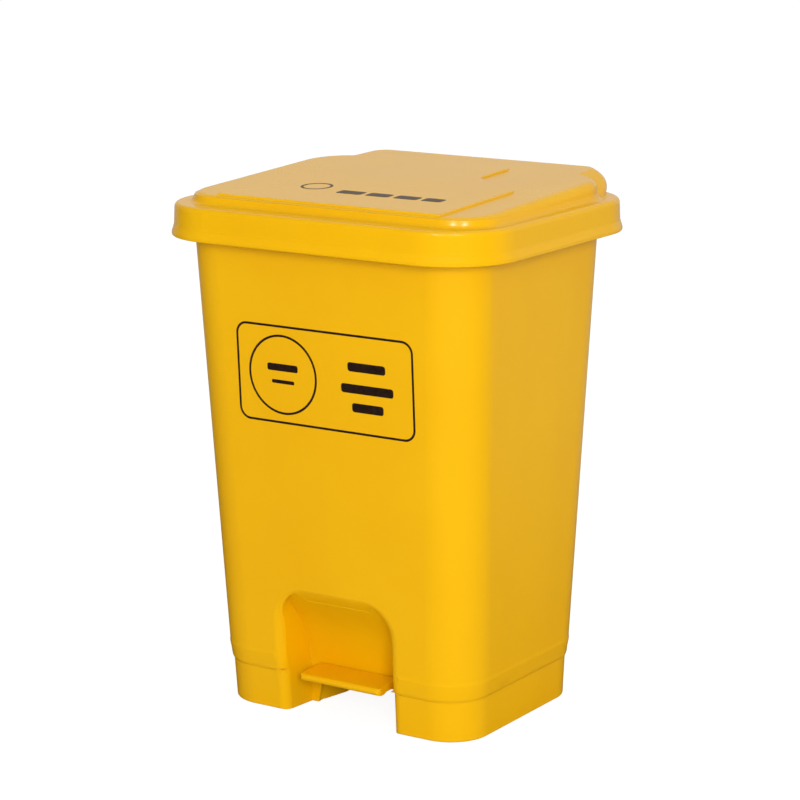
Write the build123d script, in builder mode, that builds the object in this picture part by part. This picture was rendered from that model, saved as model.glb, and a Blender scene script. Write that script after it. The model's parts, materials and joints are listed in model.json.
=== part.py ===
"""Pedal bin: tapered one-piece body, skirted lid on a rear hinge, foot lever and push rod.

Millimetres, +Z up, -Y is the front where the pedal is, +X is right seen from the front.
The origin is on the floor, midway between the front and the back of the whole bin.
Depths (y) below are measured from the body's centre line, which lies at BODY_Y.
"""
from build123d import *
from math import asin, atan, cos, degrees, radians, sin, tan
import os

os.makedirs("parts", exist_ok=True)

# ---------------------------------------------------------------- driving dimensions
BODY_Y = -3.5

# Body sections: half width, half depth, corner radius, centre y
PLINTH_Z = 34.8
PLINTH_TOP = PLINTH_Z + 2
FOOT_SEC = (122.0, 92.6, 35.0, 1.9)         # at the floor
PLINTH_SEC = (123.1, 94.6, 35.0, 1.3)       # at PLINTH_TOP
LOW_SEC = (125.2, 96.9, 37.4, 1.3)          # at PLINTH_Z, before the lower edge turns in
RIM_Z = 421.0
RIM_SEC = (141.5, 117.0, 39.0, -1.4)        # at RIM_Z
TURN_Z, TURN_IN = 52.0, 2.0                 # lower edge turns in below this height, by this much
WALL = 3.0
FLOOR_LOW, FLOOR_TOP = 46.0, 49.0
FLANGE_OUT, FLANGE_H = 2.5, 5.0

# Shoe recess in the front; the scoop is its back curve as (y, z), from the top down
SCOOP = [(-100.5, 109.0), (-86.5, 94.0), (-71.5, 74.5), (-61.2, 51.0), (-57.8, 37.5), (-57.2, 30.0)]
RECESS_TOP = 109.0
RECESS_R = 26.0
RECESS_W, RECESS_W_Y = 53.4, -92.0          # half width, and the depth where it holds
RECESS_TAPER = 0.084                        # narrowing per mm of depth
MOUTH_R = 7.5                               # rounding of the mouth's edge
MOUTH_W_Y = -92.1                           # depth where the mouth's half width is RECESS_W

# Lid skirt sections: half width, half depth, corner radius
LIP_Z0, LIP_Z1, LIP_Z2 = 400.5, 403.4, 411.5   # upright edge, then a slope back to the skirt
LIP_SEC = (160.5, 137.0, 59.9)
SKIRT_LOW = (158.9, 135.4, 58.3)
SKIRT_TOP = (157.7, 134.2, 57.1)
VOID_LOW = (154.9, 131.5, 54.4)             # hollow inside the skirt
VOID_TOP = (154.5, 131.1, 54.0)
LEDGE_Z, LEDGE_UNDER = 427.6, 424.8
LID_WALL = 2.8

# Lid crown: half width, half depth, front and rear corner radius
CROWN_Z, CROWN_TILT = 439.4, 0.043          # height at the centre, rise per mm to the rear
CROWN_Z0, CROWN_Z1 = LEDGE_Z - 8, 452.0     # heights of the two sections
CROWN_LOW = (144.6, 111.6, 35.0, 43.0)
CROWN_HIGH = (142.4, 109.4, 33.0, 42.0)
CROWN_FILLET = 7.0
COVE = [(-1.5, 5.4), (0, 4.6), (0.6, 2.6), (1.8, 1.2), (4.0, 0.2), (6.0, -0.6)]
#      blend at the crown's foot: height above the ledge, distance out from the crown

# Lid hump, the hinge housing: half width, rear face y, corner radius
HUMP_LOW = (134.0, 144.0, 45.0)             # up to the ledge
HUMP_MID = (119.5, 143.6, 18.0)             # at HUMP_MID_Z
HUMP_HIGH = (107.0, 140.0, 12.0)            # at HUMP_TOP
HUMP_Y0, HUMP_MID_Z, HUMP_TOP, HUMP_FILLET = 52.0, 440.0, 446.1, 2.5

# Raised panel on the crown
PANEL = [(107, -113), (107, 9), (50, 49), (50, 101)]    # right half of its plan (x, y)
PANEL_H, PANEL_SUNK = 1.6, 7.0              # height above the crown, depth below it
PANEL_TOP_Y, PANEL_LOW_Y = -104.4, -109.4   # front edge at its top and at PANEL_SUNK
PANEL_OVERRUN = 0.8                         # share by which the front cut runs past both ends

# Hinge and lifting linkage
HINGE_Y, HINGE_Z = 130.0, 412.0
LID_OPEN = 72.0                             # degrees
LIFT_R = 22.0                               # lift pin to hinge axis
ROD_TILT = 3.8                              # degrees back from upright
ROD_R = 3.0
LIFT_PIN_R, LIFT_SLOT = 2.5, 5.9
LEVER_L = 106.0                             # lever pin to pedal axle
LEVER_PIN_R, LEVER_SLOT = 3.0, 6.2
AXLE_Z, AXLE_R = 28.0, 4.0
GROOVE_X, GROOVE_D = 16.0, 9.5              # rod groove: half width, depth in front of the rod
HINGE_PIN_R, RUN = 2.5, 0.06                # RUN is the running clearance
KNUCKLE_R = 7.0
LUG_X, LUG_T = 45.0, 12.0                   # body lugs: inner face, thickness
EAR_T, EAR_GAP = 4.0, 0.3                   # lid ears on both sides of each lug
EAR_XS = (LUG_X - EAR_GAP - EAR_T, LUG_X + LUG_T + EAR_GAP)
CLEVIS_X, CLEVIS_T = 9.5, 4.0               # lifting clevis: inner face, thickness
CLEVIS_OUT = CLEVIS_X + CLEVIS_T
CLIP_T, CLIP_GAP = 1.0, 0.1

# Rear cover over the rod groove
COVER_Z, COVER_W, COVER_H = 220.5, 50.0, 326.0
COVER_T, COVER_SUNK = 2.5, 1.2
COVER_OUT = COVER_T - COVER_SUNK
COVER_R = 4.0
SCREW_R = 1.75
SCREW_GRID = (42, 300, 2, 2)                # pitches and counts

# Lid buffers
BUFFER_X, BUFFER_Y = 70, -117.5
STUD_R, STUD_H = 2.0, 2.0

# Pedal pivot
HUB_X = 30.0                                # half width of the lever's hub
BUSH_R, BUSH_L, BUSH_FLANGE_R, BUSH_FLANGE_T = 6.0, 14.0, 8.6, 1.5
BOSS_X, BOSS_L, BOSS_R = 32.0, 11.0, 8.5    # axle bosses on the underfloor walls
AXLE_HALF = 47.0
CAP_R, CAP_L = 7.2, 6.0

# ---------------------------------------------------------------- linkage geometry
ROD_DIR_Y, ROD_DIR_Z = sin(radians(ROD_TILT)), cos(radians(ROD_TILT))

# Lift pin at rest: the swing is centred on the line square to the rod
LIFT_REST = radians(ROD_TILT - LID_OPEN / 2)
LIFT_Y = HINGE_Y - LIFT_R * cos(LIFT_REST)
LIFT_Z = HINGE_Z + LIFT_R * sin(LIFT_REST)
STROKE = 2 * LIFT_R * sin(radians(LID_OPEN / 2))
LIFT_SAG = LIFT_R * (1 - cos(radians(LID_OPEN / 2)))
HEAD_Y = LIFT_Y - LIFT_SAG / 2 * ROD_DIR_Z  # middle of the slot in the rod head
HEAD_Z = LIFT_Z + LIFT_SAG / 2 * ROD_DIR_Y


def rod_y(z):
    """Depth of the rod's centre line at height z."""
    return HEAD_Y + (z - HEAD_Z) * tan(radians(ROD_TILT))


# Pedal lever: its swing is centred in the same way
LEVER_SWING = 2 * degrees(asin(STROKE / 2 / LEVER_L))
LEVER_SAG = LEVER_L * (1 - cos(radians(LEVER_SWING / 2)))
LEVER_REST = radians(-ROD_TILT - LEVER_SWING / 2)
LEVER_PIN_Z = AXLE_Z + LEVER_L * sin(LEVER_REST)
FOOT_Z = LEVER_PIN_Z - LEVER_SAG / 2 * ROD_DIR_Y     # middle of the slot in the rod foot
LEVER_PIN_Y = rod_y(FOOT_Z) - LEVER_SAG / 2 * ROD_DIR_Z
AXLE_Y = LEVER_PIN_Y - LEVER_L * cos(LEVER_REST)
ROD_Z0, ROD_Z1 = FOOT_Z + 7.0, HEAD_Z - 6.0

# Pivot centres (y, z)
HINGE, LIFT = (HINGE_Y, HINGE_Z), (LIFT_Y, LIFT_Z)
AXLE, LEVER_PIN = (AXLE_Y, AXLE_Z), (LEVER_PIN_Y, LEVER_PIN_Z)


# ---------------------------------------------------------------- sections and faces
def blend(low, high, share):
    """Section part of the way from low to high."""
    return tuple(p + (q - p) * share for p, q in zip(low, high))


def grown(section, amount):
    """Section with its half sizes and corner radius grown, and its centre kept."""
    return tuple(size + amount for size in section[:3]) + section[3:]


def body_section(z):
    """Outer section of the body's straight taper at height z."""
    return blend(LOW_SEC, RIM_SEC, (z - PLINTH_Z) / (RIM_Z - PLINTH_Z))


def front_y(z):
    """Depth of the body's outer front face at height z."""
    _, half_depth, _, centre_y = body_section(z)
    return centre_y - half_depth


def rear_y(z):
    """Depth of the body's outer rear face at height z."""
    _, half_depth, _, centre_y = body_section(z)
    return centre_y + half_depth


def foot_front_y(z):
    """Depth of the plinth's outer front face at height z."""
    _, half_depth, _, centre_y = blend(FOOT_SEC, PLINTH_SEC, z / PLINTH_TOP)
    return centre_y - half_depth


def turn_inset(z):
    """How far the body's lower edge has turned in at height z."""
    share = max(TURN_Z - z, 0) / (TURN_Z - PLINTH_Z)
    return TURN_IN * (1 - (1 - share ** 2) ** 0.5)


def turned_y(z):
    """Depth of the front face, with the turned-in lower edge."""
    return front_y(z) + turn_inset(z)


def recess_half_width(y, known_y=RECESS_W_Y):
    """Half width of the recess at depth y, given where it equals RECESS_W."""
    return RECESS_W - RECESS_TAPER * (y - known_y)


# ---------------------------------------------------------------- reference planes
def level(z):
    """Horizontal plane at height z, centred on the body."""
    return Plane(origin=(0, BODY_Y, z), x_dir=(1, 0, 0), z_dir=(0, 0, 1))


def side(x):
    """Plane facing +X: local x runs to the rear, local y runs up."""
    return Plane(origin=(x, BODY_Y, 0), x_dir=(0, 1, 0), z_dir=(1, 0, 0))


def rearward(y, slope=0.0):
    """Plane facing +Y through depth y at the floor, leaning back by slope per mm of height."""
    return Plane(origin=(0, BODY_Y + y, 0), x_dir=(-1, 0, 0), z_dir=(0, 1, -slope))


def rod_plane(z):
    """Plane square to the rod, on its centre line at height z."""
    return Plane(origin=(0, BODY_Y + rod_y(z), z), x_dir=(1, 0, 0), z_dir=(0, ROD_DIR_Y, ROD_DIR_Z))


def cover_plane(out=0.0):
    """Plane out from the rear face at the cover's centre: local y runs up the face."""
    lean = atan((rear_y(400) - rear_y(100)) / 300.0)
    face = Plane(
        origin=(0, BODY_Y + rear_y(COVER_Z), COVER_Z),
        x_dir=(-1, 0, 0),
        z_dir=(0, cos(lean), -sin(lean)),
    )
    return face.offset(out)


def top_plane(drop=0.0):
    """Tilted plane of the crown's top, lowered by drop."""
    return Plane(origin=(0, BODY_Y, CROWN_Z - drop), x_dir=(1, 0, 0), z_dir=(0, -CROWN_TILT, 1))


# ---------------------------------------------------------------- shared shapes
def slab_x(x, thickness, sign):
    """Lower x of a slab that starts at x on the right (sign 1) or its mirror image (-1)."""
    return x if sign > 0 else -x - thickness


def rounded(half_width, half_depth, radius, y=0.0):
    """Rounded rectangle in the current sketch."""
    with Locations((0, y)):
        RectangleRounded(2 * half_width, 2 * half_depth, radius)


def disc(centre, radius, mode=Mode.ADD):
    """Circle in the current sketch."""
    with Locations(centre):
        Circle(radius, mode=mode)


def screw_discs(radius):
    """Circles at the four cover screws in the current sketch."""
    with GridLocations(*SCREW_GRID):
        Circle(radius)


def mirrored(points):
    """Half outline followed by its reflection in x, back to the start."""
    return [*points, *[(-x, y) for x, y in reversed(points)]]


def save(builder, name):
    """Label the built part and write its STEP file."""
    builder.part.label = name
    export_step(builder.part, f"parts/{name}.step")


def make_pin(name, centre, radius, x, length, bevel=0.5):
    """Pin along X with bevelled ends."""
    with BuildPart() as pin:
        with BuildSketch(side(x)):
            disc(centre, radius)
        extrude(amount=length)
        chamfer(pin.edges().filter_by(GeomType.CIRCLE), bevel)
    save(pin, name)


def make_clips(name, centre, outer_radius, bore, right_xs):
    """Retaining rings at the given x on the right, and mirrored on the left."""
    with BuildPart() as clips:
        for sign in (-1, 1):
            for x in right_xs:
                with BuildSketch(side(slab_x(x, CLIP_T, sign))):
                    disc(centre, outer_radius)
                    disc(centre, bore, Mode.SUBTRACT)
                extrude(amount=CLIP_T)
    save(clips, name)


# ---------------------------------------------------------------- void shapes for the body
def scoop_points(grow):
    """The recess back curve, moved into the bin by grow."""
    points = []
    for i, (y, z) in enumerate(SCOOP):
        before_y, before_z = SCOOP[max(i - 1, 0)]
        after_y, after_z = SCOOP[min(i + 1, len(SCOOP) - 1)]
        run_y, run_z = after_y - before_y, after_z - before_z
        length = (run_y * run_y + run_z * run_z) ** 0.5
        points.append((y - run_z / length * grow, z + run_y / length * grow))
    points[-1] = (SCOOP[-1][0] + grow, SCOOP[-1][1])
    return points


def recess_shape(grow):
    """Solid that fills the shoe recess, grown by a wall thickness."""
    points = scoop_points(grow)
    below, front, above = -2, -145, 130 + grow
    with BuildPart() as shape:
        with BuildSketch(side(-75)):
            with BuildLine():
                Spline(*points)
                Polyline(points[-1], (points[-1][0], below), (front, below), (front, above),
                         (points[0][0] - 14, above), points[0])
            make_face()
        extrude(amount=150)
        for y, radius in ((-130, RECESS_R), (-40, RECESS_R - 4)):
            with BuildSketch(rearward(y)) as arch:
                with Locations((0, (RECESS_TOP + grow - 3) / 2)):
                    Rectangle(2 * (recess_half_width(y) + grow), RECESS_TOP + grow + 3)
                fillet(arch.vertices().group_by(Axis.Y)[-1], radius + grow)
        loft(mode=Mode.INTERSECT)
    return shape.part


def mouth_flare(face, z0, z1, corner=0):
    """Quarter-round flare that softens the edge of the recess on a sloping face."""
    slope = (face(z1) - face(z0)) / (z1 - z0)
    floor_y = face(z0) - slope * z0
    with BuildPart() as flare:
        for depth in (-1.0, 0.0, 0.3, 1.0, 2.1, 3.7, 5.5, MOUTH_R):
            arc = (MOUTH_R ** 2 - (MOUTH_R - max(depth, 0.0)) ** 2) ** 0.5
            spread = MOUTH_R - arc + max(-depth, 0.0)
            top = z1 - (1.1 * depth - 0.35 * spread if corner else 0.0)
            low_x = recess_half_width(face(z0) + depth, MOUTH_W_Y) + spread
            top_x = recess_half_width(face(z1) + depth, MOUTH_W_Y) + spread
            with BuildSketch(rearward(floor_y + depth, slope)) as ring:
                with BuildLine():
                    Polyline((low_x, z0), (top_x, top), (-top_x, top), (-low_x, z0), close=True)
                make_face()
                if corner:
                    fillet(ring.vertices().group_by(Axis.Y)[-1], corner + spread * 0.8)
        loft()
    return flare.part


def posts(z0, z1):
    """Solid corners behind the rounded edges of the recess."""
    with BuildPart() as corners:
        with BuildSketch(level(z0)):
            with Locations((-57.5, -92), (57.5, -92)):
                Rectangle(13, 16)
        extrude(amount=z1 - z0)
    return corners.part


def groove_points(grow, z0, z1, outer_y):
    """Side outline of the rod groove, grown towards the front."""
    return [(rod_y(z0) - GROOVE_D - grow, z0), (rod_y(z1) - GROOVE_D - grow, z1),
            (outer_y, z1), (outer_y, z0)]


def groove_wall():
    """Rod groove with its wall, and the thicker pad at the rear for the cover."""
    pad_x, pad_t = 28, 11
    with BuildPart() as wall:
        with BuildSketch(side(-GROOVE_X - WALL)):
            with BuildLine():
                Polyline(*groove_points(WALL, 40, 430, 140), close=True)
            make_face()
        extrude(amount=2 * (GROOVE_X + WALL))
        with BuildSketch(side(-pad_x)):
            with BuildLine():
                Polyline((rear_y(40) - pad_t, 40), (rear_y(400) - pad_t, 400),
                         (rear_y(408) - 3, 408), (140, 408), (140, 40), close=True)
            make_face()
        extrude(amount=2 * pad_x)
    return wall.part


def cavity(recess_wall):
    """Hollow of the body above its floor."""
    with BuildPart() as hollow:
        for z in (FLOOR_TOP, RIM_Z + 3):
            with BuildSketch(level(z)):
                rounded(*grown(body_section(z), -WALL))
        loft()
        fillet(hollow.faces().sort_by(Axis.Z)[0].edges(), 7)
        add(recess_wall, mode=Mode.SUBTRACT)
        add(posts(40, 92), mode=Mode.SUBTRACT)
        add(groove_wall(), mode=Mode.SUBTRACT)
    return hollow.part


# Plan (x, y) of the right-hand wall that carries the axle and guides the lever
LEVER_WALL = [
    (44.6, -56), (38.6, -24), (38.6, 12), (22, 42), (22, 93),
    (25, 93), (25, 42.9), (41.6, 12.9), (41.6, -23.7), (47.7, -56),
]
RIBS = [(8.0, 83, 88), (52.0, 73, 104)]     # y, centre x, length
RIB_T = 2.4


def undercroft(recess_wall):
    """Hollow under the floor, less the walls, bosses and ribs that stand in it."""
    with BuildPart() as hollow:
        with BuildSketch(level(-2)):
            rounded(*grown(FOOT_SEC, -WALL))
        with BuildSketch(level(PLINTH_Z)):
            rounded(*grown(PLINTH_SEC, -WALL))
        loft()
        with BuildSketch(level(PLINTH_Z)):
            rounded(*grown(PLINTH_SEC, -WALL))
        with BuildSketch(level(FLOOR_LOW)):
            rounded(*grown(LOW_SEC, -4))
        loft()
        add(recess_wall, mode=Mode.SUBTRACT)
        add(posts(-2, 60), mode=Mode.SUBTRACT)
        with BuildSketch(level(0.4)):
            with BuildLine():
                Polyline(*LEVER_WALL, close=True)
            make_face()
            mirror(about=Plane.YZ)
        extrude(amount=60, mode=Mode.SUBTRACT)
        for sign in (-1, 1):
            with BuildSketch(side(slab_x(BOSS_X, BOSS_L, sign))):
                disc(AXLE, BOSS_R)
            extrude(amount=BOSS_L, mode=Mode.SUBTRACT)
        for y, centre_x, length in RIBS:
            for sign in (-1, 1):
                with BuildSketch(level(8)):
                    with Locations((sign * centre_x, y)):
                        Rectangle(length, RIB_T)
                extrude(amount=60, mode=Mode.SUBTRACT)
    return hollow.part


# ---------------------------------------------------------------- 1 body
TURN_BANDS = [(46.0, 53.0), (41.0, 47.5), (37.5, 42.5), (PLINTH_Z, 39.0)]    # z from, z to
ARM_WAY = [(-44.6, -2), (-40.5, 20), (-38.2, 35)]       # half outline (x, z)
HINGE_LUG = [(112.8, 389), (115.6, 390), (123.4, 406), (130, 405), (130, 419), (120, 418), (112.8, 418)]

mouth_flares = [
    mouth_flare(front_y, 51.0, RECESS_TOP, RECESS_R),
    *[mouth_flare(turned_y, z0, z1) for z0, z1 in TURN_BANDS],
    mouth_flare(foot_front_y, -2.0, 36.5),
]
recess_wall = recess_shape(WALL)

with BuildPart() as outer_body:
    # straight taper, turned-in lower edge, plinth
    for z in (TURN_Z, RIM_Z):
        with BuildSketch(level(z)):
            rounded(*body_section(z))
    loft()
    for z in (PLINTH_Z, 36.2, 39.5, 45.0, TURN_Z):
        with BuildSketch(level(z)):
            rounded(*grown(body_section(z), -turn_inset(z)))
    loft()
    for z, section in ((0, FOOT_SEC), (PLINTH_TOP, PLINTH_SEC)):
        with BuildSketch(level(z)):
            rounded(*section)
    loft()
    fillet(outer_body.faces().sort_by(Axis.Z)[0].edges(), 1.5)
    # rim flange
    with BuildSketch(level(RIM_Z - FLANGE_H)):
        rounded(*grown(RIM_SEC, FLANGE_OUT))
    extrude(amount=FLANGE_H)
    fillet(outer_body.faces().sort_by(Axis.Z)[-1].edges(), 1.6)
    # shoe recess
    add(recess_shape(0.0), mode=Mode.SUBTRACT)
    for flare in mouth_flares:
        add(flare, mode=Mode.SUBTRACT)
    # hollow inside and underneath
    add(cavity(recess_wall), mode=Mode.SUBTRACT)
    add(undercroft(recess_wall), mode=Mode.SUBTRACT)
    # way through for the pedal arm
    with BuildSketch(rearward(-62)) as arm_way:
        with BuildLine():
            Polyline(*mirrored(ARM_WAY), close=True)
        make_face()
        fillet(arm_way.vertices().group_by(Axis.Y)[-1], 7)
    extrude(amount=13, mode=Mode.SUBTRACT)
    # rod groove, open to the rear, with its shaft down through the floor
    with BuildSketch(side(-GROOVE_X)):
        with BuildLine():
            Polyline(*groove_points(0, 64, 440, 150), close=True)
        make_face()
    extrude(amount=2 * GROOVE_X, mode=Mode.SUBTRACT)
    with BuildSketch(side(-GROOVE_X)):
        with BuildLine():
            Polyline((rod_y(30) - GROOVE_D, 30), (rod_y(70) - GROOVE_D, 70),
                     (95.6, 70), (95.6, 40), (94.6, 30), close=True)
        make_face()
    extrude(amount=2 * GROOVE_X, mode=Mode.SUBTRACT)
    # seat and screw holes for the rear cover, with 0.3 clearance all round
    with BuildSketch(cover_plane()):
        RectangleRounded(COVER_W + 0.6, COVER_H + 0.6, COVER_R + 0.3)
    extrude(amount=-COVER_SUNK, mode=Mode.SUBTRACT)
    with BuildSketch(cover_plane()):
        screw_discs(SCREW_R)
    extrude(amount=-11, mode=Mode.SUBTRACT)
    # hinge lugs
    for sign in (1, -1):
        lug_x = slab_x(LUG_X, LUG_T, sign)
        with BuildSketch(side(lug_x)):
            with BuildLine():
                Polyline(*HINGE_LUG, close=True)
            make_face()
            disc(HINGE, KNUCKLE_R)
        extrude(amount=LUG_T)
        with BuildSketch(side(lug_x - 1)):
            disc(HINGE, HINGE_PIN_R + RUN)
        extrude(amount=LUG_T + 2, mode=Mode.SUBTRACT)
    # axle holes
    with BuildSketch(side(-50)):
        disc(AXLE, AXLE_R)
    extrude(amount=100, mode=Mode.SUBTRACT)
save(outer_body, "outer_body")


# ---------------------------------------------------------------- 2 lid
def crown_outline(plan, section, grow):
    """Crown section in the current sketch, with different front and rear corners."""
    half_width, half_depth, front_r, rear_r = section
    Rectangle(2 * (half_width + grow), 2 * (half_depth + grow))
    fillet(plan.vertices().group_by(Axis.Y)[0], front_r + grow)
    fillet(plan.vertices().group_by(Axis.Y)[-1], rear_r + grow)


def crown_shape(inset, radius):
    """Raised middle of the lid, inset at its sides and top."""
    with BuildPart() as crown:
        for z, section in ((CROWN_Z0, CROWN_LOW), (CROWN_Z1, CROWN_HIGH)):
            with BuildSketch(level(z)) as plan:
                crown_outline(plan, section, -inset)
        loft()
        split(bisect_by=top_plane(inset), keep=Keep.BOTTOM)
        fillet(crown.faces().sort_by(Axis.Z)[-1].edges(), radius)
    return crown.part


def hump_outline(section, inset):
    """Hump section in the current sketch, from HUMP_Y0 to the rear face."""
    half_width, back_y, radius = section
    depth = back_y - inset - HUMP_Y0
    rounded(half_width - inset, depth / 2, radius - inset, HUMP_Y0 + depth / 2)


def hump_shape(inset, radius, z0):
    """Hinge housing along the rear: upright to the ledge, then sloping in at its ends."""
    bend_z = LEDGE_Z - 1
    with BuildPart() as hump:
        for z in (z0, bend_z):
            with BuildSketch(level(z)):
                hump_outline(HUMP_LOW, inset)
        loft()
        for z, section in ((bend_z, HUMP_LOW), (HUMP_MID_Z, HUMP_MID), (HUMP_TOP, HUMP_HIGH)):
            with BuildSketch(level(z)):
                hump_outline(section, inset)
        loft()
        split(bisect_by=top_plane(inset), keep=Keep.BOTTOM)
        fillet(hump.faces().sort_by(Axis.Z)[-1].edges(), radius)
    return hump.part


def cove_shape():
    """Hollow blend where the crown rises out of the ledge."""
    with BuildPart() as cove:
        for rise, grow in COVE:
            z = LEDGE_Z + rise
            section = blend(CROWN_LOW, CROWN_HIGH, (z - CROWN_Z0) / (CROWN_Z1 - CROWN_Z0))
            with BuildSketch(level(z)) as plan:
                crown_outline(plan, section, grow)
        loft(ruled=True)
    return cove.part


def panel_shape():
    """Shallow raised panel, narrower to the rear, its front edge leaning back into the crown."""
    top_z = CROWN_Z + CROWN_TILT * PANEL_TOP_Y + PANEL_H
    low_z = CROWN_Z + CROWN_TILT * PANEL_LOW_Y - PANEL_SUNK
    over_y = (PANEL_TOP_Y - PANEL_LOW_Y) * PANEL_OVERRUN
    over_z = (top_z - low_z) * PANEL_OVERRUN
    with BuildPart() as panel:
        with BuildSketch(top_plane(PANEL_SUNK)) as plan:
            with BuildLine():
                Polyline(*mirrored(PANEL), close=True)
            make_face()
            # all corners but the two at the front
            fillet(plan.vertices().filter_by(lambda v: v.Y > -50), 8)
        extrude(amount=PANEL_SUNK + PANEL_H)
        with BuildSketch(side(-120)):
            with BuildLine():
                Polyline((PANEL_TOP_Y + over_y, top_z + over_z), (PANEL_LOW_Y - over_y, low_z - over_z),
                         (-140, low_z - over_z), (-140, top_z + over_z), close=True)
            make_face()
        extrude(amount=240, mode=Mode.SUBTRACT)
        fillet(panel.faces().sort_by(Axis.Z)[-1].edges(), 1.1)
    return panel.part


def lid_void():
    """Hollow inside the lid."""
    with BuildPart() as void:
        for z, section in ((LIP_Z0 - 1, VOID_LOW), (LEDGE_UNDER, VOID_TOP)):
            with BuildSketch(level(z)):
                rounded(*section)
        loft()
        add(crown_shape(LID_WALL, CROWN_FILLET - 2.2))
        add(hump_shape(LID_WALL, 1.0, LIP_Z0 - 1))
    return void.part


# Side outlines (y, z)
HINGE_EAR = [(123.4, 414), (121.5, 443.4), (131, 443.4), (138, 439), (141.8, 431), (141.8, 421), (136.4, 414)]
CLEVIS = [(LIFT_Y - 5.9, LIFT_Z), (LIFT_Y - 6.6, 442.6), (122, 443.2), (120, 414), (LIFT_Y + 5.9, LIFT_Z)]
CLEVIS_WEB = [(119, 436), (119, 443), (131, 443.4), (138, 439), (141.8, 431), (138, 431)]

with BuildPart() as lid:
    # upright lip, slope back to the skirt, skirt
    with BuildSketch(level(LIP_Z0)):
        rounded(*LIP_SEC)
    extrude(amount=LIP_Z1 - LIP_Z0)
    fillet(lid.faces().sort_by(Axis.Z)[0].edges(), 1.2)
    with BuildSketch(level(LIP_Z1)):
        rounded(*LIP_SEC)
    with BuildSketch(level(LIP_Z2)):
        rounded(*grown(SKIRT_LOW, -1.0))
    loft()
    with BuildSketch(level(LIP_Z1 - 2)):
        rounded(*SKIRT_LOW)
    with BuildSketch(level(LEDGE_Z)):
        rounded(*SKIRT_TOP)
    loft()
    fillet(lid.faces().sort_by(Axis.Z)[-1].edges(), 4)
    add(crown_shape(0, CROWN_FILLET))
    add(cove_shape())
    add(hump_shape(0, HUMP_FILLET, LIP_Z0))
    add(panel_shape())
    add(lid_void(), mode=Mode.SUBTRACT)
    # hinge ears
    for sign in (1, -1):
        for x in EAR_XS:
            with BuildSketch(side(slab_x(x, EAR_T, sign))):
                with BuildLine():
                    Polyline(*HINGE_EAR, close=True)
                make_face()
                disc(HINGE, KNUCKLE_R)
            extrude(amount=EAR_T)
    # lifting clevis
    for sign in (1, -1):
        with BuildSketch(side(slab_x(CLEVIS_X, CLEVIS_T, sign))):
            with BuildLine():
                Polyline(*CLEVIS, close=True)
            make_face()
            disc(LIFT, 6)
        extrude(amount=CLEVIS_T)
    # web that stiffens the clevis to the rear wall
    with BuildSketch(side(-CLEVIS_OUT)):
        with BuildLine():
            Polyline(*CLEVIS_WEB, close=True)
        make_face()
    extrude(amount=2 * CLEVIS_OUT)
    # bores for the hinge pins and the lift pin
    with BuildSketch(side(-65)):
        disc(HINGE, HINGE_PIN_R)
        disc(LIFT, LIFT_PIN_R)
    extrude(amount=130, mode=Mode.SUBTRACT)
    # holes for the buffer studs
    with BuildSketch(level(LEDGE_UNDER)):
        with Locations((-BUFFER_X, BUFFER_Y), (BUFFER_X, BUFFER_Y)):
            Circle(STUD_R)
    extrude(amount=STUD_H, mode=Mode.SUBTRACT)
save(lid, "lid")

# ---------------------------------------------------------------- 3 lid buffers
BUFFER_Z = RIM_Z + 0.05                     # just clear of the rim

for tag, sign in (("left", -1), ("right", 1)):
    with BuildPart() as buffer:
        with BuildSketch(level(BUFFER_Z)):
            with Locations((sign * BUFFER_X, BUFFER_Y)):
                RectangleRounded(16, 7, 3)
        extrude(amount=LEDGE_UNDER - BUFFER_Z)
        fillet(buffer.faces().sort_by(Axis.Z)[0].edges(), 0.8)
        with BuildSketch(level(LEDGE_UNDER)):
            disc((sign * BUFFER_X, BUFFER_Y), STUD_R)
        extrude(amount=STUD_H)
    save(buffer, "lid_buffer_" + tag)

# ---------------------------------------------------------------- 4 hinge and lift pins, clips
HINGE_PIN_X, HINGE_PIN_L = 39.5, 24.0
LIFT_PIN_HALF = 15.2

for tag, sign in (("left", -1), ("right", 1)):
    pin_x = slab_x(HINGE_PIN_X, HINGE_PIN_L, sign)
    make_pin("hinge_pin_" + tag, HINGE, HINGE_PIN_R, pin_x, HINGE_PIN_L)
make_clips("hinge_pin_clips", HINGE, 5.2, HINGE_PIN_R,
           (EAR_XS[1] + EAR_T + CLIP_GAP, EAR_XS[0] - CLIP_GAP - CLIP_T))

make_pin("lift_pin", LIFT, LIFT_PIN_R, -LIFT_PIN_HALF, 2 * LIFT_PIN_HALF)
make_clips("lift_pin_clips", LIFT, 4.8, LIFT_PIN_R, (CLEVIS_OUT,))

# ---------------------------------------------------------------- 5 push rod, head and foot
with BuildPart() as push_rod:
    with BuildSketch(rod_plane(ROD_Z0)):
        Circle(ROD_R)
    extrude(amount=(ROD_Z1 - ROD_Z0) / ROD_DIR_Z)
    chamfer(push_rod.edges().filter_by(GeomType.CIRCLE), 0.6)
save(push_rod, "push_rod")


def make_rod_end(name, size, z0, height, slot_z, slot, sag, bore_z, bore_length):
    """Block on the end of the rod: slotted across for its pin, bored for the rod."""
    with BuildPart() as rod_end:
        with BuildSketch(rod_plane(z0)):
            RectangleRounded(*size, 2)
        extrude(amount=height)
        fillet(rod_end.faces().sort_by(Axis.Z)[-1].edges(), 1.5)
        with BuildSketch(side(-12)):
            with Locations((rod_y(slot_z), slot_z)):
                SlotOverall(slot + sag + 0.8, slot, rotation=-ROD_TILT)
        extrude(amount=24, mode=Mode.SUBTRACT)
        with BuildSketch(rod_plane(bore_z)):
            Circle(ROD_R)
        extrude(amount=bore_length, mode=Mode.SUBTRACT)
    save(rod_end, name)


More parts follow.
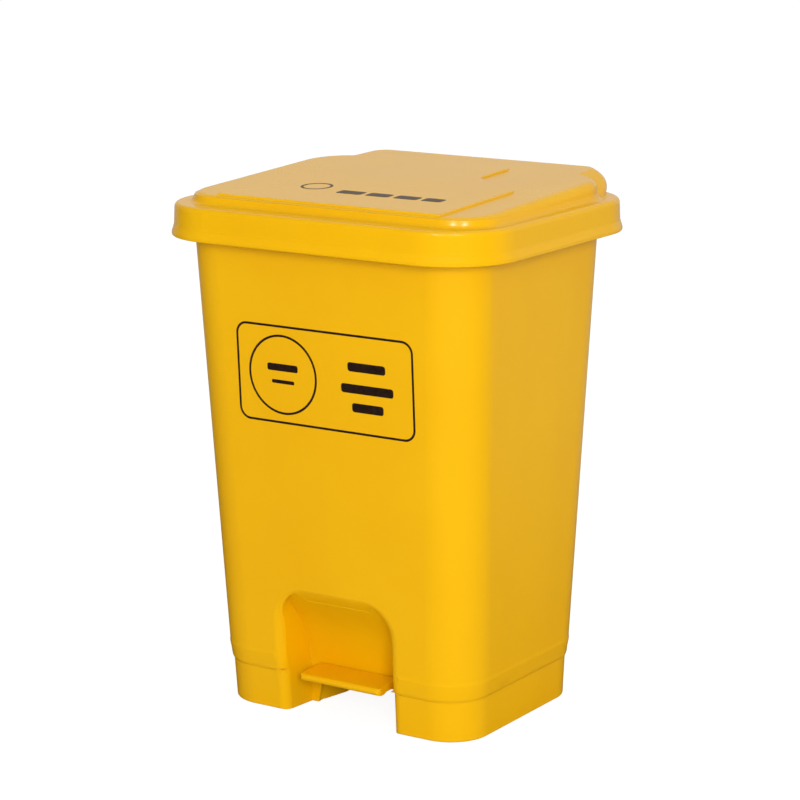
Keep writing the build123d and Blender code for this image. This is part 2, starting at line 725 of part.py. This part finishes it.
make_rod_end("rod_head", size=(17, 15), z0=HEAD_Z - 15, height=22.5,
             slot_z=HEAD_Z, slot=LIFT_SLOT, sag=LIFT_SAG,
             bore_z=ROD_Z1 - 14, bore_length=14 / ROD_DIR_Z)
make_rod_end("rod_foot", size=(15, 13), z0=FOOT_Z - 5.2, height=24,
             slot_z=FOOT_Z, slot=LEVER_SLOT, sag=LEVER_SAG,
             bore_z=ROD_Z0, bore_length=24)

# ---------------------------------------------------------------- 6 rod guides
GUIDE_HALF_H = 9
POCKET_X, POCKET_W = 7, 6                   # relief pockets: inner face, width

for tag, guide_z in (("lower", 120.0), ("upper", 330.0)):
    with BuildPart() as rod_guide:
        with BuildSketch(side(-GROOVE_X + 0.1)):
            with BuildLine():
                z0, z1 = guide_z - GUIDE_HALF_H, guide_z + GUIDE_HALF_H
                Polyline((rod_y(z0) - GROOVE_D + 0.05, z0), (rod_y(z1) - GROOVE_D + 0.05, z1),
                         (rear_y(z1) - COVER_SUNK - 0.1, z1), (rear_y(z0) - COVER_SUNK - 0.1, z0),
                         close=True)
            make_face()
        extrude(amount=2 * GROOVE_X - 0.2)
        # relief pockets on both sides of the bore, open to the rear
        for sign in (-1, 1):
            with BuildSketch(side(slab_x(POCKET_X, POCKET_W, sign))):
                with BuildLine():
                    z0, z1 = guide_z - GUIDE_HALF_H - 1, guide_z + GUIDE_HALF_H + 1
                    Polyline((rod_y(z0) - 3, z0), (rod_y(z1) - 3, z1),
                             (rear_y(z1), z1), (rear_y(z0), z0), close=True)
                make_face()
            extrude(amount=POCKET_W, mode=Mode.SUBTRACT)
        with BuildSketch(rod_plane(guide_z - 14)):
            Circle(ROD_R + 0.08)
        extrude(amount=28, mode=Mode.SUBTRACT)
    save(rod_guide, "rod_guide_" + tag)

# ---------------------------------------------------------------- 7 rear cover and its screws
with BuildPart() as rear_cover:
    with BuildSketch(cover_plane(COVER_OUT)):
        RectangleRounded(COVER_W, COVER_H, COVER_R)
    extrude(amount=-COVER_T)
    chamfer(rear_cover.faces().sort_by(Axis.Y)[-1].edges(), 0.4)
    # three shallow swages stiffen the strip
    with BuildSketch(cover_plane(COVER_OUT)):
        with GridLocations(0, 90, 1, 3):
            SlotOverall(72, 14, rotation=90)
    extrude(amount=-0.8, mode=Mode.SUBTRACT)
    with BuildSketch(cover_plane(COVER_OUT)):
        screw_discs(2.2)
    extrude(amount=-3, mode=Mode.SUBTRACT)
save(rear_cover, "rear_cover")

with BuildPart() as rear_cover_screws:
    # heads, rounded at their outer edge
    with BuildSketch(cover_plane(COVER_OUT)):
        screw_discs(3.6)
    extrude(amount=2.0)
    rims = rear_cover_screws.edges().filter_by(GeomType.CIRCLE)
    fillet([e for e in rims if e.center().Y > BODY_Y + rear_y(e.center().Z) + COVER_OUT + 1.5], 0.9)
    # shanks
    with BuildSketch(cover_plane(COVER_OUT)):
        screw_discs(SCREW_R)
    extrude(amount=-11)
    # cross slots
    with BuildSketch(cover_plane(COVER_OUT + 2.2)):
        with GridLocations(*SCREW_GRID):
            Rectangle(3.8, 0.8)
            Rectangle(0.8, 3.8)
    extrude(amount=-1.2, mode=Mode.SUBTRACT)
save(rear_cover_screws, "rear_cover_screws")

# ---------------------------------------------------------------- 8 pedal axle, bushes and caps
make_pin("pedal_axle", AXLE, AXLE_R, -AXLE_HALF, 2 * AXLE_HALF, bevel=0.8)

for tag, sign in (("left", -1), ("right", 1)):
    with BuildPart() as bush:
        with BuildSketch(side(slab_x(HUB_X, BUSH_FLANGE_T, sign))):
            disc(AXLE, BUSH_FLANGE_R)
        extrude(amount=BUSH_FLANGE_T)
        with BuildSketch(side(slab_x(HUB_X - BUSH_L, BUSH_L, sign))):
            disc(AXLE, BUSH_R)
        extrude(amount=BUSH_L)
        with BuildSketch(side(-40)):
            disc(AXLE, AXLE_R + RUN)
        extrude(amount=80, mode=Mode.SUBTRACT)
    save(bush, "axle_bush_" + tag)

    with BuildPart() as cap:
        with BuildSketch(side(slab_x(BOSS_X + BOSS_L, CAP_L, sign))):
            disc(AXLE, CAP_R)
        extrude(amount=CAP_L)
        outer_edge = -1 if sign > 0 else 0
        fillet(cap.edges().filter_by(GeomType.CIRCLE).sort_by(Axis.X)[outer_edge], 2)
        with BuildSketch(side(-AXLE_HALF)):
            disc(AXLE, AXLE_R)
        extrude(amount=2 * AXLE_HALF, mode=Mode.SUBTRACT)
    save(cap, "axle_cap_" + tag)

# ---------------------------------------------------------------- 9 pedal lever
# Side outline (y, z) of the arm: top edge from front to rear, then back underneath
ARM_TOP = [
    (-62, 35.6), (-59.4, 35), (-57, 33.4), (-50, 32.4), (-38, 32.8),
    (AXLE_Y - 4, 36.6), (AXLE_Y + 6, 36.6), (20, 29), (60, 20.5),
]
ARM_UNDER = [
    (LEVER_PIN_Y - 1, LEVER_PIN_Z + 6), (LEVER_PIN_Y, LEVER_PIN_Z - 6),
    (LEVER_PIN_Y - 6, LEVER_PIN_Z - 5.6),
    (40, 9), (AXLE_Y + 4, 17.5), (-45, 18), (-57, 23.5), (-62, 29),
]
# Right half of the arm's plan (x, y), from front to rear
ARM_PLAN = [(36, -62), (36, -48), (30, -34), (20, 2), (13, 26), (13, LEVER_PIN_Y + 8)]
ARM_TOP_T, ARM_SIDE_T = 3.4, 2.8
ARM_HOLLOWS = [(-58, -30.5), (-4, 66)]      # y from, y to
ARM_REACH = 40.0                            # half width that clears the arm on both sides
# Side outline (y, z) of the tread plate, and the centre of its rolled front edge
TREAD = [(-88.8, 35.2), (-59.3, 36.0), (-59.3, 31.0), (-80, 30.4), (-84, 29.0), (-88.8, 29.0)]
TREAD_ROLL, TREAD_ROLL_R = (-88.8, 32.1), 3.1
TREAD_X = 40.0                              # half width


def core_x(y):
    """Half width of the hollow inside the arm at depth y."""
    for (x0, y0), (x1, y1) in zip(ARM_PLAN, ARM_PLAN[1:]):
        if y0 <= y <= y1:
            return x0 + (x1 - x0) * (y - y0) / (y1 - y0) - ARM_SIDE_T


def arm_core():
    """Inside of the arm, open underneath."""
    with BuildPart() as core:
        with BuildSketch(side(-ARM_REACH)):
            with BuildLine():
                Polyline(*[(y, z - ARM_TOP_T) for y, z in ARM_TOP],
                         (70, 14), (70, -10), (-59, -10), (-59, 27), close=True)
            make_face()
        extrude(amount=2 * ARM_REACH)
        with BuildSketch(level(-12)):
            for y0, y1 in ARM_HOLLOWS:
                depths = [y0] + [y for _, y in ARM_PLAN if y0 < y < y1] + [y1]
                with BuildLine():
                    Polyline(*mirrored([(core_x(y), y) for y in depths]), close=True)
                make_face()
        extrude(amount=60, mode=Mode.INTERSECT)
    return core.part


def tread_shape():
    """Tread plate with a rolled front edge."""
    with BuildPart() as tread:
        with BuildSketch(side(-TREAD_X)):
            with BuildLine():
                Polyline(*TREAD, close=True)
            make_face()
            disc(TREAD_ROLL, TREAD_ROLL_R)
        extrude(amount=2 * TREAD_X)
        with BuildSketch(level(0)):
            with Locations((0, -66)):
                RectangleRounded(2 * TREAD_X, 51.8, 4)
        extrude(amount=60, mode=Mode.INTERSECT)
    return tread.part


with BuildPart() as pedal_lever:
    with BuildSketch(side(-ARM_REACH)):
        with BuildLine():
            Polyline(*ARM_TOP, *ARM_UNDER, close=True)
        make_face()
        disc(LEVER_PIN, 6)
    extrude(amount=2 * ARM_REACH)
    with BuildSketch(level(-1)):
        with BuildLine():
            Polyline(*mirrored(ARM_PLAN), close=True)
        make_face()
    extrude(amount=60, mode=Mode.INTERSECT)
    add(arm_core(), mode=Mode.SUBTRACT)
    # hub on the axle
    with BuildSketch(side(-HUB_X)):
        disc(AXLE, 9.4)
    extrude(amount=2 * HUB_X)
    add(tread_shape())
    # fork for the rod foot
    with BuildSketch(level(-2)):
        with Locations((0, LEVER_PIN_Y + 5)):
            Rectangle(16.4, 38)
    extrude(amount=60, mode=Mode.SUBTRACT)
    # bores for the lever pin and the bushes
    with BuildSketch(side(-ARM_REACH)):
        disc(LEVER_PIN, LEVER_PIN_R)
        disc(AXLE, BUSH_R)
    extrude(amount=2 * ARM_REACH, mode=Mode.SUBTRACT)
save(pedal_lever, "pedal_lever")

make_pin("lever_pin", LEVER_PIN, LEVER_PIN_R, -15, 30)
make_clips("lever_pin_clips", LEVER_PIN, 5.2, LEVER_PIN_R, (13.2,))
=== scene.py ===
"""A yellow plastic bin with a lid and a pedal, on a pale studio floor.

Units are metres and +Z is up. The front faces -Y and leans outwards as it rises.
This script adds their materials, the thin printed marks, the floor, the lights
and the camera.
"""
import json
import math

import bmesh
import bpy
from mathutils import Matrix, Vector


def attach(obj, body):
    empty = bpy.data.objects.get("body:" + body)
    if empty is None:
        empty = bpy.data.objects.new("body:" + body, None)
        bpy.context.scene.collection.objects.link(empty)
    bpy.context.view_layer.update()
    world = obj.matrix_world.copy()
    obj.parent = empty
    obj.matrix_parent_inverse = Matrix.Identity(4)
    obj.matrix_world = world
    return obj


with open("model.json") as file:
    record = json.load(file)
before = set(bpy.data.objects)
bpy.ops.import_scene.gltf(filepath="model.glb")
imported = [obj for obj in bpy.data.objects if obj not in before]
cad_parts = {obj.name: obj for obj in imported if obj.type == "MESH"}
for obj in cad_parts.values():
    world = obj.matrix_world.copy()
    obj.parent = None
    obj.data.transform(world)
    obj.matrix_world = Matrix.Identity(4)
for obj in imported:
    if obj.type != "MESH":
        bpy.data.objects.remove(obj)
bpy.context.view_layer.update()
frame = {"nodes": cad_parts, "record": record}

BODY_Y = -0.0035  # the body's centre line
WHITE = (1.0, 1.0, 1.0, 1.0)

scene = bpy.context.scene


# ---------------------------------------------------------------- node helpers
class Nodes:
    """An emptied node tree, and short ways to fill it."""

    def __init__(self, owner):
        owner.use_nodes = True
        self.tree = owner.node_tree
        self.tree.nodes.clear()

    def fill(self, node, inputs):
        """Link or set each input, keyed by socket name or index."""
        for key, value in inputs.items():
            socket = node.inputs[key]
            if isinstance(value, bpy.types.NodeSocket):
                self.tree.links.new(value, socket)
            else:
                socket.default_value = value

    def node(self, kind, inputs=None, **settings):
        node = self.tree.nodes.new(kind)
        for key, value in settings.items():
            setattr(node, key, value)
        self.fill(node, inputs or {})
        return node

    def ramp(self, value, low, high, out_low=0.0, out_high=1.0):
        """Smooth step from out_low to out_high as value goes from low to high."""
        inputs = {"Value": value, "From Min": low, "From Max": high,
                  "To Min": out_low, "To Max": out_high}
        node = self.node("ShaderNodeMapRange", inputs, interpolation_type="SMOOTHSTEP")
        return node.outputs["Result"]

    def mix_shader(self, factor, first, second):
        return self.node("ShaderNodeMixShader", {0: factor, 1: first, 2: second}).outputs[0]

    def ray_is(self, kind):
        return self.node("ShaderNodeLightPath").outputs[f"Is {kind} Ray"]

    def y_of(self, vector):
        return self.node("ShaderNodeSeparateXYZ", {0: vector}).outputs["Y"]


class Material(Nodes):
    """A Principled material textured in object coordinates."""

    def __init__(self, name):
        self.data = bpy.data.materials.new(name)
        super().__init__(self.data)
        self.output = self.node("ShaderNodeOutputMaterial")
        self.principled = self.node("ShaderNodeBsdfPrincipled")
        self.fill(self.output, {"Surface": self.principled.outputs["BSDF"]})
        self.coordinates = self.node("ShaderNodeTexCoord").outputs["Object"]

    def surface(self, inputs):
        self.fill(self.principled, inputs)

    def noise(self, scale, detail, roughness, stretch=None, distortion=0.0):
        vector = self.coordinates
        if stretch:
            mapping = self.node("ShaderNodeMapping", {"Vector": vector, "Scale": stretch})
            vector = mapping.outputs["Vector"]
        inputs = {"Vector": vector, "Scale": scale, "Detail": detail,
                  "Roughness": roughness, "Distortion": distortion}
        return self.node("ShaderNodeTexNoise", inputs).outputs["Fac"]

    def math(self, operation, a, b):
        return self.node("ShaderNodeMath", {0: a, 1: b}, operation=operation).outputs[0]

    def add(self, a, b):
        return self.math("ADD", a, b)

    def times(self, value, factor):
        return self.math("MULTIPLY", value, factor)

    def mix(self, factor, first, second, blend="MIX"):
        """Mix two colours, each a socket or an RGB tuple."""
        node = self.node("ShaderNodeMix", {"Factor": factor}, data_type="RGBA", blend_type=blend)
        for index, colour in ((6, first), (7, second)):
            if isinstance(colour, tuple):
                colour = (*colour, 1.0)
            self.fill(node, {index: colour})
        return node.outputs[2]

    def bump(self, height, strength, distance, normal=None):
        inputs = {"Height": height, "Strength": strength, "Distance": distance}
        if normal is not None:
            inputs["Normal"] = normal
        return self.node("ShaderNodeBump", inputs).outputs["Normal"]

    def edge(self, radius):
        """Mask that is high on sharp edges, and a slightly rounded normal."""
        rounded = self.node("ShaderNodeBevel", {"Radius": radius}, samples=6).outputs["Normal"]
        flat = self.node("ShaderNodeNewGeometry").outputs["Normal"]
        dot = self.node("ShaderNodeVectorMath", {0: rounded, 1: flat}, operation="DOT_PRODUCT")
        return self.ramp(dot.outputs["Value"], low=0.99, high=0.80), rounded


# ---------------------------------------------------------------- materials
def srgb(*channels):
    """Linear colour from 8-bit sRGB channels above 10, where the curve is a power."""
    return tuple(((c / 255.0 + 0.055) / 1.055) ** 2.4 for c in channels)


def plastic(name, deep, body, light, roughness, specular=0.22, subsurface=0.0, dust=0.0,
            scuff=0.0):
    """Moulded plastic: flow tint, faint peel, hairline scratches; edges paled by painted
    highlight and wear.
    """
    m = Material(name)
    cloud = m.noise(scale=5.0, detail=3.0, roughness=0.55)
    flow = m.noise(scale=14.0, detail=2.0, roughness=0.5, stretch=(1.0, 1.0, 0.12))
    tone = m.add(m.times(cloud, factor=0.65), m.times(flow, factor=0.35))
    colour = m.mix(m.ramp(tone, low=0.30, high=0.72), deep, body)
    # painted highlight, partly wear: sharp edges are mixed 30% towards the light colour
    edges, normal = m.edge(radius=0.0009)
    colour = m.mix(m.times(edges, factor=0.30), colour, light)
    if dust:
        specks = m.ramp(m.noise(scale=38.0, detail=5.0, roughness=0.7), low=0.50, high=0.75)
        colour = m.mix(m.times(specks, factor=dust), colour, light)

    # two sets of scratches, stretched along different axes
    hair_a = m.noise(scale=60.0, detail=6.0, roughness=0.75, stretch=(18.0, 1.0, 1.0),
                     distortion=0.6)
    hair_b = m.noise(scale=50.0, detail=6.0, roughness=0.75, stretch=(1.0, 1.5, 22.0),
                     distortion=0.8)
    scratches = m.math("MAXIMUM", m.ramp(hair_a, low=0.66, high=0.74),
                       m.ramp(hair_b, low=0.68, high=0.76))

    fine = m.noise(scale=1100.0, detail=2.0, roughness=0.6)
    total = roughness - 0.02  # the masks below add roughness back, each by its amount
    for mask, amount in ((m.ramp(cloud, low=0.3, high=0.7), 0.04),
                         (scratches, 0.03 + scuff),
                         (m.ramp(fine, low=0.35, high=0.65), 0.02)):
        total = m.add(total, m.times(mask, factor=amount))

    peel = m.noise(scale=120.0, detail=2.0, roughness=0.5)
    waves = m.noise(scale=3.2, detail=1.0, roughness=0.4)
    normal = m.bump(peel, strength=0.035, distance=0.00012, normal=normal)
    normal = m.bump(waves, strength=0.10, distance=0.0010, normal=normal)
    normal = m.bump(scratches, strength=0.03 + scuff * 0.4, distance=0.00003, normal=normal)
    m.surface({"Base Color": colour, "Roughness": total, "Normal": normal,
               "IOR": 1.49, "Specular IOR Level": specular})
    if subsurface:
        m.surface({"Subsurface Weight": subsurface, "Subsurface Radius": (1.0, 0.45, 0.08),
                   "Subsurface Scale": 0.004})
    return m.data


def metal(name, dark, pale, roughness, stretch, spangle=0.0):
    """Bare metal with a stretched grain, if asked a cellular spangle, and painted highlight on
    sharp edges.
    """
    m = Material(name)
    grain = m.noise(scale=420.0, detail=4.0, roughness=0.6, stretch=stretch)
    cloud = m.noise(scale=26.0, detail=3.0, roughness=0.6)
    tone = m.add(m.times(grain, factor=0.5), m.times(cloud, factor=0.5))
    colour = m.mix(m.ramp(tone, low=0.35, high=0.65), dark, pale)
    if spangle:
        cells = m.node("ShaderNodeTexVoronoi", {"Vector": m.coordinates, "Scale": 260.0})
        colour = m.mix(spangle, colour, cells.outputs["Color"], blend="SOFT_LIGHT")
    # painted highlight, partly wear: sharp edges are mixed halfway towards the pale tone
    edges, rounded = m.edge(radius=0.0004)
    colour = m.mix(m.times(edges, factor=0.5), colour, pale)
    uneven = m.times(m.ramp(grain, low=0.3, high=0.7), factor=0.14)
    normal = m.bump(grain, strength=0.12, distance=0.00006, normal=rounded)
    m.surface({"Base Color": colour, "Metallic": 1.0, "Roughness": m.add(roughness, uneven),
               "Normal": normal})
    return m.data


def ink(name, deep, worn):
    """Printed ink with fine worn specks."""
    m = Material(name)
    wear = m.noise(scale=420.0, detail=4.0, roughness=0.6)
    m.surface({"Base Color": m.mix(m.ramp(wear, low=0.35, high=0.75), deep, worn),
               "Roughness": m.add(0.42, m.times(wear, factor=0.15)),
               "Normal": m.bump(wear, strength=0.10, distance=0.00003),
               "Specular IOR Level": 0.25})
    return m.data


# light: the painted highlight tone of sharp edges, also the tone of dust specks
YELLOW = dict(deep=(0.835, 0.432, 0.0), body=(0.875, 0.472, 0.0), light=(0.95, 0.60, 0.03))

SLOTS = {
    "yellow_shell": plastic("pp_yellow_body", **YELLOW, roughness=0.30),
    "yellow_lid": plastic("pp_yellow_lid", **YELLOW, roughness=0.24, specular=0.26),
    "yellow_pedal": plastic("pp_yellow_pedal", **YELLOW, roughness=0.28, dust=0.04, scuff=0.06),
    "white_acetal": plastic("acetal_white", deep=srgb(205, 204, 196), body=srgb(226, 225, 218),
                            light=srgb(240, 240, 236), roughness=0.38, specular=0.5,
                            subsurface=0.1),
    "black_plastic": plastic("nylon_black", deep=srgb(18, 18, 19), body=srgb(30, 30, 31),
                             light=srgb(70, 70, 70), roughness=0.45, specular=0.5),
    "soft_pad": plastic("elastomer_pad", deep=srgb(26, 26, 27), body=srgb(38, 38, 38),
                        light=srgb(66, 66, 66), roughness=0.75, specular=0.4),
    "steel": metal("drawn_steel", dark=srgb(150, 151, 152), pale=srgb(196, 197, 198),
                   roughness=0.22, stretch=(1.0, 1.0, 14.0)),
    "spring_steel": metal("zinc_plate", dark=srgb(140, 144, 146), pale=srgb(190, 194, 196),
                          roughness=0.30, stretch=(1.0, 1.0, 1.0), spangle=0.25),
}
slot_of = {part["node"]: part["material_slot"] for part in frame["record"]["subparts"]}
for node_name, piece in frame["nodes"].items():
    material = SLOTS[slot_of[node_name]]
    if not piece.material_slots:
        piece.data.materials.append(material)
    for slot in piece.material_slots:
        slot.material = material

# ---------------------------------------------------------------- printed marks
FILM_TOP = 0.00012     # the film stands this far above its surface
FILM_BOTTOM = -0.0002  # and is sunk this far below it

FRONT_BOTTOM = (-0.0956, 0.0348)  # y from the centre line, and z, at the foot of the front
FRONT_LEAN = 0.0228 / 0.3862      # outward run over rise
LID_PANEL_Z = 0.4394 + 0.0016     # lid top plus its raised panel, on the centre line
LID_SLOPE = 0.043

LINE_WIDTH = 0.0019
LABEL_Z = 0.2940
LABEL_FRAME = dict(x=0.0015, width=0.1715, height=0.0825, radius=0.0105)
BADGE_X, BADGE_RADIUS = -0.0395, 0.0335
LABEL_BARS = [  # x, z, width, height
    (0.0425, 0.3085, 0.036, 0.0075),
    (0.0425, 0.2905, 0.050, 0.0075),
    (0.0425, 0.2750, 0.030, 0.0075),
    (BADGE_X, 0.3000, 0.030, 0.0060),
    (BADGE_X, 0.2880, 0.022, 0.0030),
]
LID_RING_CENTRE = (-0.0510, -0.0435)
LID_RING_RADII = (0.0135, 0.0112)  # outer, inner
LID_BARS = [(-0.0090, 0.024), (0.0185, 0.022), (0.0455, 0.022), (0.0700, 0.018)]  # x, width
LID_BAR_Y, LID_BAR_HEIGHT, LID_BAR_RADIUS = -0.0555, 0.0120, 0.0025


def front_face(x, z, lift):
    """Point on the body's sloping front, moved forwards by lift."""
    bottom_y, bottom_z = FRONT_BOTTOM
    return Vector((x, BODY_Y + bottom_y - FRONT_LEAN * (z - bottom_z) - lift, z))


def lid_top(x, y, lift):
    """Point on the lid's raised panel; y is measured from the centre line."""
    return Vector((x, BODY_Y + y, LID_PANEL_Z + LID_SLOPE * y + lift))


def rounded_loop(x, y, width, height, radius, steps):
    """Rounded rectangle centred on x, y, with steps segments to a corner."""
    points = []
    for side_x, side_y, start in ((1, 1, 0), (-1, 1, 90), (-1, -1, 180), (1, -1, 270)):
        corner_x = x + side_x * (width / 2 - radius)
        corner_y = y + side_y * (height / 2 - radius)
        for i in range(steps + 1):
            angle = math.radians(start + 90 * i / steps)
            points.append((corner_x + radius * math.cos(angle),
                           corner_y + radius * math.sin(angle)))
    return points


def ring_loop(x, y, radius, steps=72):
    angles = [2 * math.pi * i / steps for i in range(steps)]
    return [(x + radius * math.cos(a), y + radius * math.sin(a)) for a in angles]


def label_frame(inset):
    frame_x, width, height, radius = LABEL_FRAME.values()
    return rounded_loop(frame_x, LABEL_Z, width - 2 * inset, height - 2 * inset,
                        radius - inset, steps=10)


def bar(x, y, width, height, radius):
    """Filled rounded rectangle, as a shape with no hole."""
    return rounded_loop(x, y, width, height, radius, steps=5), None


def add_film(bm, surface, outer, inner):
    """Thin prism over the outer loop, with a hole along the inner loop if there is one."""
    def verts(loop, lift):
        return [bm.verts.new(surface(*point, lift)) for point in loop]

    bottom, top = verts(outer, FILM_BOTTOM), verts(outer, FILM_TOP)
    if inner:
        hole_bottom, hole_top = verts(inner, FILM_BOTTOM), verts(inner, FILM_TOP)
    else:
        bm.faces.new(top)
        bm.faces.new(bottom[::-1])
    for i in range(len(outer)):
        j = (i + 1) % len(outer)
        if inner:
            bm.faces.new((top[i], top[j], hole_top[j], hole_top[i]))
        bm.faces.new((bottom[i], bottom[j], top[j], top[i]))
        if inner:
            bm.faces.new((hole_top[i], hole_top[j], hole_bottom[j], hole_bottom[i]))
            bm.faces.new((hole_bottom[i], hole_bottom[j], bottom[j], bottom[i]))


def add_object(name, mesh, material):
    mesh.materials.append(material)
    obj = bpy.data.objects.new(name, mesh)
    scene.collection.objects.link(obj)
    return obj


def print_marks(name, surface, shapes, body, material):
    """Lay (outer loop, inner loop or None) shapes on a surface that moves with body."""
    bm = bmesh.new()
    for outer, inner in shapes:
        add_film(bm, surface, outer, inner)
    bmesh.ops.recalc_face_normals(bm, faces=bm.faces)
    mesh = bpy.data.meshes.new(name)
    bm.to_mesh(mesh)
    bm.free()
    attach(add_object(name, mesh, material), body)


dark_ink = ink("screen_ink_dark", deep=(0.014, 0.006, 0.004), worn=(0.035, 0.014, 0.006))
# painted sheen: the lid print is the dark ink made lighter and browner, standing for the lid
# top's reflection
sheen_lit_lid_ink = ink("screen_ink_lid_painted_sheen", deep=(0.075, 0.045, 0.020), worn=(0.115, 0.070, 0.028))

badge = [ring_loop(BADGE_X, LABEL_Z, BADGE_RADIUS - inset) for inset in (0, LINE_WIDTH)]
outlines = [(label_frame(0), label_frame(LINE_WIDTH)), badge]
print_marks("front_label_outline", front_face, outlines, "bin", dark_ink)

label_bars = [bar(x, z, width, height, radius=height * 0.30)
              for x, z, width, height in LABEL_BARS]
print_marks("front_label_bars", front_face, label_bars, "bin", dark_ink)

lid_ring = [ring_loop(*LID_RING_CENTRE, radius) for radius in LID_RING_RADII]
lid_bars = [bar(x, LID_BAR_Y, width, LID_BAR_HEIGHT, LID_BAR_RADIUS) for x, width in LID_BARS]
print_marks("lid_print_bars", lid_top, [lid_ring, *lid_bars], "lid", sheen_lit_lid_ink)


# ---------------------------------------------------------------- floor
FLOOR_HALF = 15.0
FLOOR_Z = -0.0002


def floor_material():
    """Near white to the camera, grey as a bounce, and a front-to-back fade in reflections."""
    m = Material("floor_pale")
    cloud = m.noise(scale=2.0, detail=3.0, roughness=0.5)
    colour = m.mix(m.ramp(cloud, low=0.3, high=0.7), (0.84, 0.84, 0.84), (0.86, 0.86, 0.86))
    m.surface({"Base Color": colour, "Roughness": 0.9, "Specular IOR Level": 0.0})
    glow = m.node("ShaderNodeEmission", {"Color": WHITE, "Strength": 1.15})
    seen = m.mix_shader(0.80, m.principled.outputs["BSDF"], glow.outputs[0])
    bounce = m.node("ShaderNodeBsdfDiffuse", {"Color": (0.70, 0.70, 0.70, 1.0)})
    y = m.y_of(m.node("ShaderNodeNewGeometry").outputs["Position"])
    fade = m.ramp(y, low=-0.1, high=1.2, out_low=0.004, out_high=0.50)
    sheen = m.node("ShaderNodeEmission", {"Strength": fade})
    plain = m.mix_shader(m.ray_is("Camera"), bounce.outputs[0], seen)
    shader = m.mix_shader(m.ray_is("Glossy"), plain, sheen.outputs[0])
    m.fill(m.output, {"Surface": shader})
    return m.data


floor_mesh = bpy.data.meshes.new("floor")
floor_corners = [(x * FLOOR_HALF, y * FLOOR_HALF, FLOOR_Z)
                 for x, y in ((-1, -1), (1, -1), (1, 1), (-1, 1))]
floor_mesh.from_pydata(floor_corners, [], [(0, 1, 2, 3)])
add_object("floor", floor_mesh, floor_material())


# ---------------------------------------------------------------- world
def build_world():
    """White to the camera, an even ambient, and a front-to-back fade in reflections."""
    world = bpy.data.worlds.new("studio")
    scene.world = world
    w = Nodes(world)
    world.cycles.sampling_method = "NONE"  # the world is not sampled as a light

    def background(strength):
        inputs = {"Color": WHITE, "Strength": strength}
        return w.node("ShaderNodeBackground", inputs).outputs[0]

    y = w.y_of(w.node("ShaderNodeTexCoord").outputs["Generated"])
    fade = background(w.ramp(y, low=-0.15, high=0.75, out_low=0.004, out_high=0.77))
    lit = w.mix_shader(w.ray_is("Glossy"), background(strength=0.54), fade)
    shader = w.mix_shader(w.ray_is("Camera"), lit, background(strength=1.0))
    w.node("ShaderNodeOutputWorld", {"Surface": shader})


scene.view_settings.view_transform = "Standard"
scene.view_settings.look = "None"
build_world()


# ---------------------------------------------------------------- lights
def around(azimuth, elevation, distance, centre_z=0.25):
    """Point at azimuth degrees from the front towards +X, around the bin's axis."""
    a, e = math.radians(azimuth), math.radians(elevation)
    return (distance * math.sin(a) * math.cos(e), -distance * math.cos(a) * math.cos(e),
            centre_z + distance * math.sin(e))


def softbox(name, place, aim_z, width, height, power, glint):
    """Area light aimed at the Z axis; a glint shows only in reflections, others never do."""
    data = bpy.data.lights.new(name, "AREA")
    data.shape = "RECTANGLE"
    data.size = width
    data.size_y = height
    data.energy = power
    light = bpy.data.objects.new(name, data)
    light.location = place
    aim = Vector((0, 0, aim_z)) - Vector(place)
    light.rotation_euler = aim.to_track_quat("-Z", "Y").to_euler()
    light.visible_glossy = glint
    light.visible_diffuse = not glint
    light.visible_camera = False
    scene.collection.objects.link(light)


SOFTBOXES = [  # name, place, aim height, width, height, watts, glint
    ("key_front", around(38, 16, 3.2), 0.24, 0.9, 0.9, 62, False),
    ("top_soft", (0.3, -0.3, 2.6), 0.4, 1.2, 1.2, 5, False),
    ("glint_left", around(8, 48, 2.6), 0.40, 0.12, 0.12, 22, True),
    ("glint_right", around(42, 48, 2.6), 0.40, 0.12, 0.12, 22, True),
    ("rear_rim", around(-150, 35, 2.8), 0.30, 1.2, 0.8, 10, False),
]
for box in SOFTBOXES:
    softbox(*box)

# ---------------------------------------------------------------- camera
YAW = math.radians(33.091)    # from the front towards +X
PITCH = math.radians(12.568)  # above the horizontal
ROLL = math.radians(-0.122)
DISTANCE = 2.379536
AIM = Vector((0, BODY_Y, 0.225))
SHIFT_RIGHT, SHIFT_UP = 0.001323, 0.031316  # of the aim point, across the view
SENSOR_MM, LENS_MM = 36.0, 127.354905


def build_camera():
    right = Vector((math.cos(YAW), math.sin(YAW), 0))
    back = Vector((math.sin(YAW) * math.cos(PITCH), -math.cos(YAW) * math.cos(PITCH),
                   math.sin(PITCH)))
    up = back.cross(right)
    target = AIM + right * SHIFT_RIGHT + up * SHIFT_UP
    rolled_right = right * math.cos(ROLL) + up * math.sin(ROLL)
    rolled_up = up * math.cos(ROLL) - right * math.sin(ROLL)
    turn = Matrix((rolled_right, rolled_up, back)).transposed().to_4x4()

    data = bpy.data.cameras.new("camera")
    data.sensor_width = SENSOR_MM
    data.sensor_fit = "HORIZONTAL"
    data.lens = LENS_MM
    data.clip_end = 60.0
    camera = bpy.data.objects.new("camera", data)
    camera.matrix_world = Matrix.Translation(target + back * DISTANCE) @ turn
    scene.collection.objects.link(camera)
    scene.camera = camera


build_camera()
